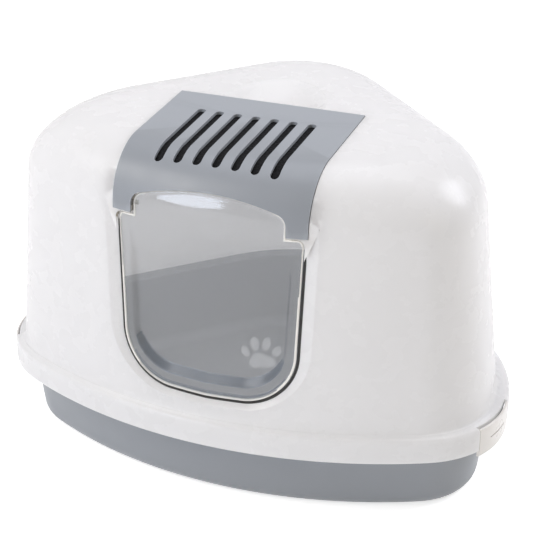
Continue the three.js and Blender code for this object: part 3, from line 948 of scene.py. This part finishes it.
def cut_top(hood, sizes, backing):
    """Cuts the panel's seat, the pad's pocket and the finger dish."""
    depth = seat_depth(sizes)
    dish = loft("dish", dish_rings(sizes))
    seat = prism(
        panel_outline(PANEL_HALF + PANEL_FIT, PANEL_LOW - PANEL_FIT, PANEL_NOTCH_GAP),
        -REACH, PANEL_BACK + PANEL_FIT)
    cut(hood, common(seat, skins.layer(-0.0015, depth)))
    cut(hood, common(pocket_block(PANEL_FIT), skins.layer(depth - 0.001, POCKET_FLOOR)))
    cut(hood, cut(dish, backing))


def cut_doorway(hood, sizes):
    """Cuts the sloped band and the doorway, and adds the pins' seats."""
    cut(hood, surround_cutter(sizes))
    doorway = [tuple(p) for p in door_outline(sizes.door_gap, DOOR_GAP_BOTTOM)]
    cut(hood, prism(doorway, -REACH, HINGE.y + 0.025))
    cut(hood, bar(HUMP_SWING_RADIUS, HUMP_HALF + sizes.door_gap))
    join(hood, hinge_seats(sizes))
    pin_reach, pin_radius = HUMP_HALF + 0.0075, PIN_RADIUS + PANEL_FIT
    cut(hood, bar(pin_radius, pin_reach))
    cut(hood, block((-pin_reach, HINGE.y - 0.012, HINGE.z - pin_radius),
                    (pin_reach, HINGE.y, HINGE.z + pin_radius)))


def cut_pocket_holes(hood):
    floor = POCKET_FLOOR + POCKET_WALL
    y0, y1 = POCKET_HOLE_Y
    for i in range(POCKET_HOLES):
        x = (i - (POCKET_HOLES - 1) / 2) * POCKET_HOLE_PITCH
        hole = block((x - POCKET_HOLE_HALF, y0, 0.3), (x + POCKET_HOLE_HALF, y1, 0.45))
        cut(hood, common(hole, skins.layer(POCKET_FLOOR - 0.001, floor + 0.001)))


def cut_latch_places(hood):
    low, high = LATCH_Z[0] - 0.002, LATCH_Z[1] + 0.003
    for side in (-1, 1):
        tool = cut(lip_prism(-0.002, low, high), lip_prism(0.0046, low - 0.001, high + 0.001))
        cut(hood, common(tool, latch_zone(side, low, high, LATCH_PLAY)))


def build_hood(sizes, colours):
    hood = copy_of(skins.get(0))
    backing = seat_backing()
    cut(hood, hood_cavity(sizes, backing))
    cut_top(hood, sizes, backing)
    cut_doorway(hood, sizes)
    cut_pocket_holes(hood)
    cut_latch_places(hood)
    # The near-black strip in the door's gap is painted shade.
    gap_shade = door_gap_shade(sizes)
    gap_shade.data.materials.clear()
    gap_shade.data.materials.append(gap_shade_strip(colours))
    looks = [hood_plastic(colours), seat_painted_shade(colours)]
    piece = finish_piece("hood_shell", hood, "hood", looks, "hood")
    # Faces on the seat below the vent panel get the painted shade.
    for face in piece.data.polygons:
        face.material_index = 1 if under_panel(face.center) else 0
    select_only(piece, gap_shade)
    bpy.ops.object.join()
    return piece


def door_gap_shade(sizes):
    """A near-black strip in the gap beside and below the flap, clear of its swing: painted shade, put
    where the gap only shows shade.
    """
    grow = sizes.door_gap + 0.0008
    ring = prism([tuple(p) for p in door_outline(grow, DOOR_GAP_BOTTOM + 0.0008)], -REACH, -0.12)
    cut(ring, prism([tuple(p) for p in door_outline(0.0008, 0.0018)], -REACH - 0.1, 0))
    cut(ring, block((-REACH, -REACH, GAP_SHADE_TOP), (REACH, REACH, REACH)))
    return common(ring, skins.layer(GAP_SHADE_DEPTH, GAP_SHADE_DEPTH + 0.003))


def under_panel(place):
    """Whether a point lies on the seat below the vent panel, which gets the painted shade."""
    x, y, z = place
    if y > -0.12 or abs(x) > PANEL_HALF + 0.001 or z < PANEL_LOW - 0.012:
        return False
    return y - front_y(x, z) > 0.0008


def slot_tool(x, sizes):
    """A vent slot with round ends, straight down through the panel."""
    r = sizes.slot_width / 2
    front, back = SLOT_Y
    outline = arc_points((x, back - r), r, 0, pi, 14) + arc_points((x, front + r), r, pi, 2 * pi, 14)
    return loft("slot_tool", [lift(outline, 0.3), lift(outline, 0.45)])


def build_panel(sizes, colours):
    region = prism(panel_outline(PANEL_HALF, PANEL_LOW, PANEL_NOTCH_GAP), -REACH, PANEL_BACK)
    inner = sizes.panel_thickness - sizes.panel_rise
    panel = common(skins.layer(-sizes.panel_rise, inner), region)
    for i in range(sizes.slot_count):
        cut(panel, slot_tool((i - (sizes.slot_count - 1) / 2) * sizes.slot_pitch, sizes))
    return finish_piece(
        "vent_cover", panel, "vent_panel", [panel_plastic(colours)], "vent_panel")


def build_pad(sizes, colours):
    outer = sizes.panel_thickness - sizes.panel_rise + PAD_GAP
    pad = common(skins.layer(outer, outer + PAD_THICKNESS), pocket_block(-PANEL_FIT))
    return finish_piece("carbon_pad", pad, "hood", [carbon_foam(colours)], "filter_pad")


def door_stages(sizes):
    """Grow and depth of each ring of the flap's front: its edge, its rim and the slope to its field."""
    wall, rim = sizes.door_wall, sizes.door_depth
    field = sizes.pan_depth
    front = [(0.0003, rim + wall * 0.5), (0.0, rim + 0.0006), (-0.0003, rim + 0.0002), (-0.0009, rim)]
    front += [(-0.0018, rim), (-0.0026, rim + 0.0003), (-0.0034, rim + 0.0008), (-0.0050, rim + 0.001)]
    front += [(-0.0075, rim + 0.001), (-0.0092, rim + 0.001)]
    slope = [(-0.0092 - 0.0065 * t, rim + 0.001 + (field - 0.001) * smooth(0, 1, t))
             for t in (k / 10 for k in range(1, 11))]
    return front + slope


def door_rings(sizes):
    """Rings of the flap from the middle of its back, round its edge, to the middle of its front."""
    counts = subdivided(door_outline(0))[1]
    middle = Vector((0, 0.24))
    front, wall = door_stages(sizes), sizes.door_wall

    def ring(grow, depth, share=0.0, behind=0.0):
        bottom = grow * 1.5 if grow < 0 else grow
        points = subdivided(door_outline(grow, bottom), counts=counts)[0]
        made = []
        for p in points:
            q = p.lerp(middle, share)
            rim = min(depth, sizes.door_depth + 0.001)
            inward = rim + (depth - rim) * (1 - smooth(0.272, 0.306, q.y)) + behind
            made.append(Vector((q.x, front_y(q.x, q.y) + inward, q.y)))
        return made

    last_grow, last_depth = front[-1]
    shares = [0.08, 0.2, 0.35, 0.5, 0.65, 0.8, 0.92]
    field_front = [ring(last_grow, last_depth, s) for s in shares]
    field_back = [ring(last_grow, last_depth, s, behind=wall) for s in reversed(shares)]
    back = [ring(g, d, behind=wall) for g, d in reversed(front[3:])]
    edge = [ring(0.0, sizes.door_depth, behind=wall - 0.0004)]
    return field_back + back + edge + [ring(g, d) for g, d in front] + field_front


def build_door(sizes, colours):
    """Clear flap with its pins, a painted highlight along its edge and painted shade on its lower sloped
    wall.
    """
    flap = loft("flap", door_rings(sizes))
    pins = cut(bar(PIN_RADIUS, HUMP_HALF + 0.0065),
               block((-HUMP_HALF + 0.004, -REACH, 0), (HUMP_HALF - 0.004, REACH, REACH)))
    join(flap, pins)
    clear = clear_plastic("door_clear", colours.door, 0.12, 0.15, (0.965, 0.975, 0.985), paw=True)
    # Painted highlight: a nearly opaque band in the edge's pale cream tint along the flap's outline, for
    # the bright line the light makes on the rim.
    edge = clear_plastic("door_edge_highlight", (0.97, 0.95, 0.91), 0.9, 0.2, (0.95, 0.95, 0.94))
    # Painted shade: the lower sloped wall of the flap's field lets through a darker blue-grey, for the
    # darker inside seen through the tilted wall.
    wall = clear_plastic("door_wall", colours.door, 0.12, 0.2, (0.52, 0.59, 0.68), 0.3)
    piece = finish_piece("swing_flap", flap, "door", [clear, edge, wall], "door_flap")
    edge_highlight_width, shaded_wall_reach, shaded_wall_top = 0.0022, 0.030, 0.25
    outline = subdivided(door_outline(0))[0]
    # Faces near the outline take the painted highlight; steep faces of the lower sloped wall take the
    # painted shade.
    for face in piece.data.polygons:
        x, _, z = face.center
        nearest = min(hypot(p.x - x, p.y - z) for p in outline)
        if nearest < edge_highlight_width:
            face.material_index = 1
        elif nearest < shaded_wall_reach and z < shaded_wall_top and abs(face.normal.z) > 0.3:
            face.material_index = 2
    return piece


def build_latches(sizes, colours):
    """Clips that follow the lip's ends, each with a bead inside and a slit across its face."""
    material = latch_plastic(colours)
    low, high = LATCH_Z
    profile = [(0.0012, low), (0.0004, low + 0.0002), (0.0, low + 0.0012), (0.0, high - 0.002),
               (0.0003, high - 0.0008), (0.0009, high - 0.0002), (0.0018, high)]
    middle = sum(LATCH_Y) / 2
    pieces = []
    for side, name in ((1, "latch_right"), (-1, "latch_left")):
        face = loft("latch", [
            lift(plan_ring(i, i, FRONT_CORNER_RADIUS - i), z) for i, z in profile])
        cut(face, lip_prism(LATCH_THICKNESS, low - 0.001, high + 0.0015))
        common(face, latch_zone(side, low, high, 0))
        bead = cut(lip_prism(0.0021, *BEAD_Z), lip_prism(0.0038, BEAD_Z[0] - 0.001, BEAD_Z[1] + 0.001))
        join(face, common(bead, latch_zone(side, *BEAD_Z, 0)))
        cut(face, block((-REACH, middle - SLIT_HALF, SLIT_Z[0]), (REACH, middle + SLIT_HALF, SLIT_Z[1])))
        pieces.append(finish_piece(name + "_clip", face, name, [material], name))
    return pieces


# ---------- stage ----------
def build_stage():
    scene = bpy.context.scene
    bpy.ops.object.select_all(action="DESELECT")
    bpy.ops.mesh.primitive_plane_add(size=30, location=(0, 0, 0))
    floor = bpy.context.object
    floor.name = "floor"
    paper = Shader("paper_floor", (0.86, 0.86, 0.86), 0.8)
    paper.into(paper.spread(paper.noise(3), 0.75, 0.9), "Roughness")
    glow = paper.node("ShaderNodeEmission")
    glow.inputs["Strength"].default_value = FLOOR_GLOW
    add = paper.node("ShaderNodeAddShader")
    paper.link(paper.shader.outputs["BSDF"], add.inputs[0])
    paper.link(glow.outputs["Emission"], add.inputs[1])
    either = paper.node("ShaderNodeMixShader")
    paper.link(seen_white(paper.tree), either.inputs["Fac"])
    paper.link(paper.shader.outputs["BSDF"], either.inputs[1])
    paper.link(add.outputs["Shader"], either.inputs[2])
    paper.link(either.outputs["Shader"], paper.tree.nodes["Material Output"].inputs["Surface"])
    floor.data.materials.append(paper.material)

    world = bpy.data.worlds.new("studio")
    scene.world = world
    world.use_nodes = True
    nodes, links = world.node_tree.nodes, world.node_tree.links
    plain = nodes["Background"]
    plain.inputs["Color"].default_value = (1.0, 0.96, 0.92, 1)
    plain.inputs["Strength"].default_value = WORLD_STRENGTH
    white = nodes.new("ShaderNodeBackground")
    white.inputs["Strength"].default_value = 1.0
    mix = nodes.new("ShaderNodeMixShader")
    links.new(seen_white(world.node_tree), mix.inputs["Fac"])
    links.new(plain.outputs["Background"], mix.inputs[1])
    links.new(white.outputs["Background"], mix.inputs[2])
    links.new(mix.outputs["Shader"], nodes["World Output"].inputs["Surface"])

    lamp("key", (-1.6, -1.5, 2.1), 1.6, 31, (1.0, 0.975, 0.94))
    lamp("top", (-0.2, 0.5, 2.4), 1.8, 15.5, (0.9, 0.925, 1.0))
    lamp("back", (1.8, 1.3, 1.6), 1.4, 33, (0.91, 0.93, 1.0))
    lamp("front", (-1.2, -2.4, 0.9), 1.0, 16, (0.80, 0.87, 1.0))
    lamp("fill", (2.2, -1.2, 1.1), 1.4, 4, (1.0, 0.88, 0.55))

    target = Vector((-0.0018, -0.0275, 0.196))
    azimuth, elevation, distance = radians(21.31), radians(26.95), 1.637
    back = Vector((sin(azimuth) * cos(elevation), -cos(azimuth) * cos(elevation), sin(elevation)))
    camera = bpy.data.cameras.new("camera")
    camera.sensor_width = 36
    camera.lens = 95.8
    holder = bpy.data.objects.new("camera", camera)
    scene.collection.objects.link(holder)
    holder.location = target + back * distance
    holder.rotation_euler = (-back).to_track_quat("-Z", "Y").to_euler()
    scene.camera = holder
    scene.view_settings.view_transform = "Standard"


def seen_white(tree):
    """1 for camera rays and for mirrored or refracted ones, which meet a white backdrop."""
    path = tree.nodes.new("ShaderNodeLightPath")
    value = path.outputs["Is Camera Ray"]
    for kind in ("Is Glossy Ray", "Is Transmission Ray"):
        larger = tree.nodes.new("ShaderNodeMath")
        larger.operation = "MAXIMUM"
        tree.links.new(value, larger.inputs[0])
        tree.links.new(path.outputs[kind], larger.inputs[1])
        value = larger.outputs["Value"]
    return value


def lamp(name, place, size, power, colour):
    light = bpy.data.lights.new(name, "AREA")
    light.shape = "DISK"
    light.size = size
    light.energy = power
    light.color = colour
    holder = bpy.data.objects.new(name, light)
    bpy.context.scene.collection.objects.link(holder)
    holder.location = place
    aim = Vector((0, 0, 0.2)) - Vector(place)
    holder.rotation_euler = aim.to_track_quat("-Z", "Y").to_euler()


# ---------- operators ----------
class PieceOperator:
    """Shared settings of the litter box operators."""

    bl_options = {"REGISTER", "UNDO"}

    def execute(self, context):
        self.build(context.scene.litter_box_sizes, context.scene.litter_box_colours)
        return {"FINISHED"}


class LITTERBOX_OT_stage(PieceOperator, bpy.types.Operator):
    """Add the floor, the lamps and the camera"""

    bl_idname = "litterbox.stage"
    bl_label = "Stage"

    def build(self, sizes, colours):
        build_stage()


class LITTERBOX_OT_tray(PieceOperator, bpy.types.Operator):
    """Add the pan"""

    bl_idname = "litterbox.tray"
    bl_label = "Pan"

    def build(self, sizes, colours):
        build_tray(sizes, colours)


class LITTERBOX_OT_hood(PieceOperator, bpy.types.Operator):
    """Add the hood"""

    bl_idname = "litterbox.hood"
    bl_label = "Hood"

    def build(self, sizes, colours):
        build_hood(sizes, colours)


class LITTERBOX_OT_panel(PieceOperator, bpy.types.Operator):
    """Add the vent panel"""

    bl_idname = "litterbox.panel"
    bl_label = "Vent panel"

    def build(self, sizes, colours):
        build_panel(sizes, colours)


class LITTERBOX_OT_pad(PieceOperator, bpy.types.Operator):
    """Add the carbon pad"""

    bl_idname = "litterbox.pad"
    bl_label = "Carbon pad"

    def build(self, sizes, colours):
        build_pad(sizes, colours)


class LITTERBOX_OT_door(PieceOperator, bpy.types.Operator):
    """Add the swing door"""

    bl_idname = "litterbox.door"
    bl_label = "Swing door"

    def build(self, sizes, colours):
        build_door(sizes, colours)


class LITTERBOX_OT_latches(PieceOperator, bpy.types.Operator):
    """Add both latches"""

    bl_idname = "litterbox.latches"
    bl_label = "Latches"

    def build(self, sizes, colours):
        build_latches(sizes, colours)


class LITTERBOX_PT_panel(bpy.types.Panel):
    """Lists the sizes, the colours and the pieces"""

    bl_idname = "LITTERBOX_PT_panel"
    bl_label = "Litter box"
    bl_space_type = "VIEW_3D"
    bl_region_type = "UI"
    bl_category = "Litter box"

    def draw(self, context):
        for group in (context.scene.litter_box_sizes, context.scene.litter_box_colours):
            column = self.layout.column()
            for key in group.__annotations__:
                column.prop(group, key)
        for operator in OPERATORS:
            self.layout.operator(operator.bl_idname)


OPERATORS = (
    LITTERBOX_OT_stage,
    LITTERBOX_OT_tray,
    LITTERBOX_OT_hood,
    LITTERBOX_OT_panel,
    LITTERBOX_OT_pad,
    LITTERBOX_OT_door,
    LITTERBOX_OT_latches,
)
CLASSES = (LitterBoxSizes, LitterBoxColours, *OPERATORS, LITTERBOX_PT_panel)


def register():
    for made in CLASSES:
        bpy.utils.register_class(made)
    bpy.types.Scene.litter_box_sizes = PointerProperty(type=LitterBoxSizes)
    bpy.types.Scene.litter_box_colours = PointerProperty(type=LitterBoxColours)


def unregister():
    del bpy.types.Scene.litter_box_colours
    del bpy.types.Scene.litter_box_sizes
    for made in reversed(CLASSES):
        bpy.utils.unregister_class(made)


def main():
    register()
    bpy.ops.litterbox.stage()
    bpy.ops.litterbox.tray()
    bpy.ops.litterbox.hood()
    bpy.ops.litterbox.panel()
    bpy.ops.litterbox.pad()
    bpy.ops.litterbox.door()
    bpy.ops.litterbox.latches()
    skins.clear()


if __name__ == "__main__":
    main()
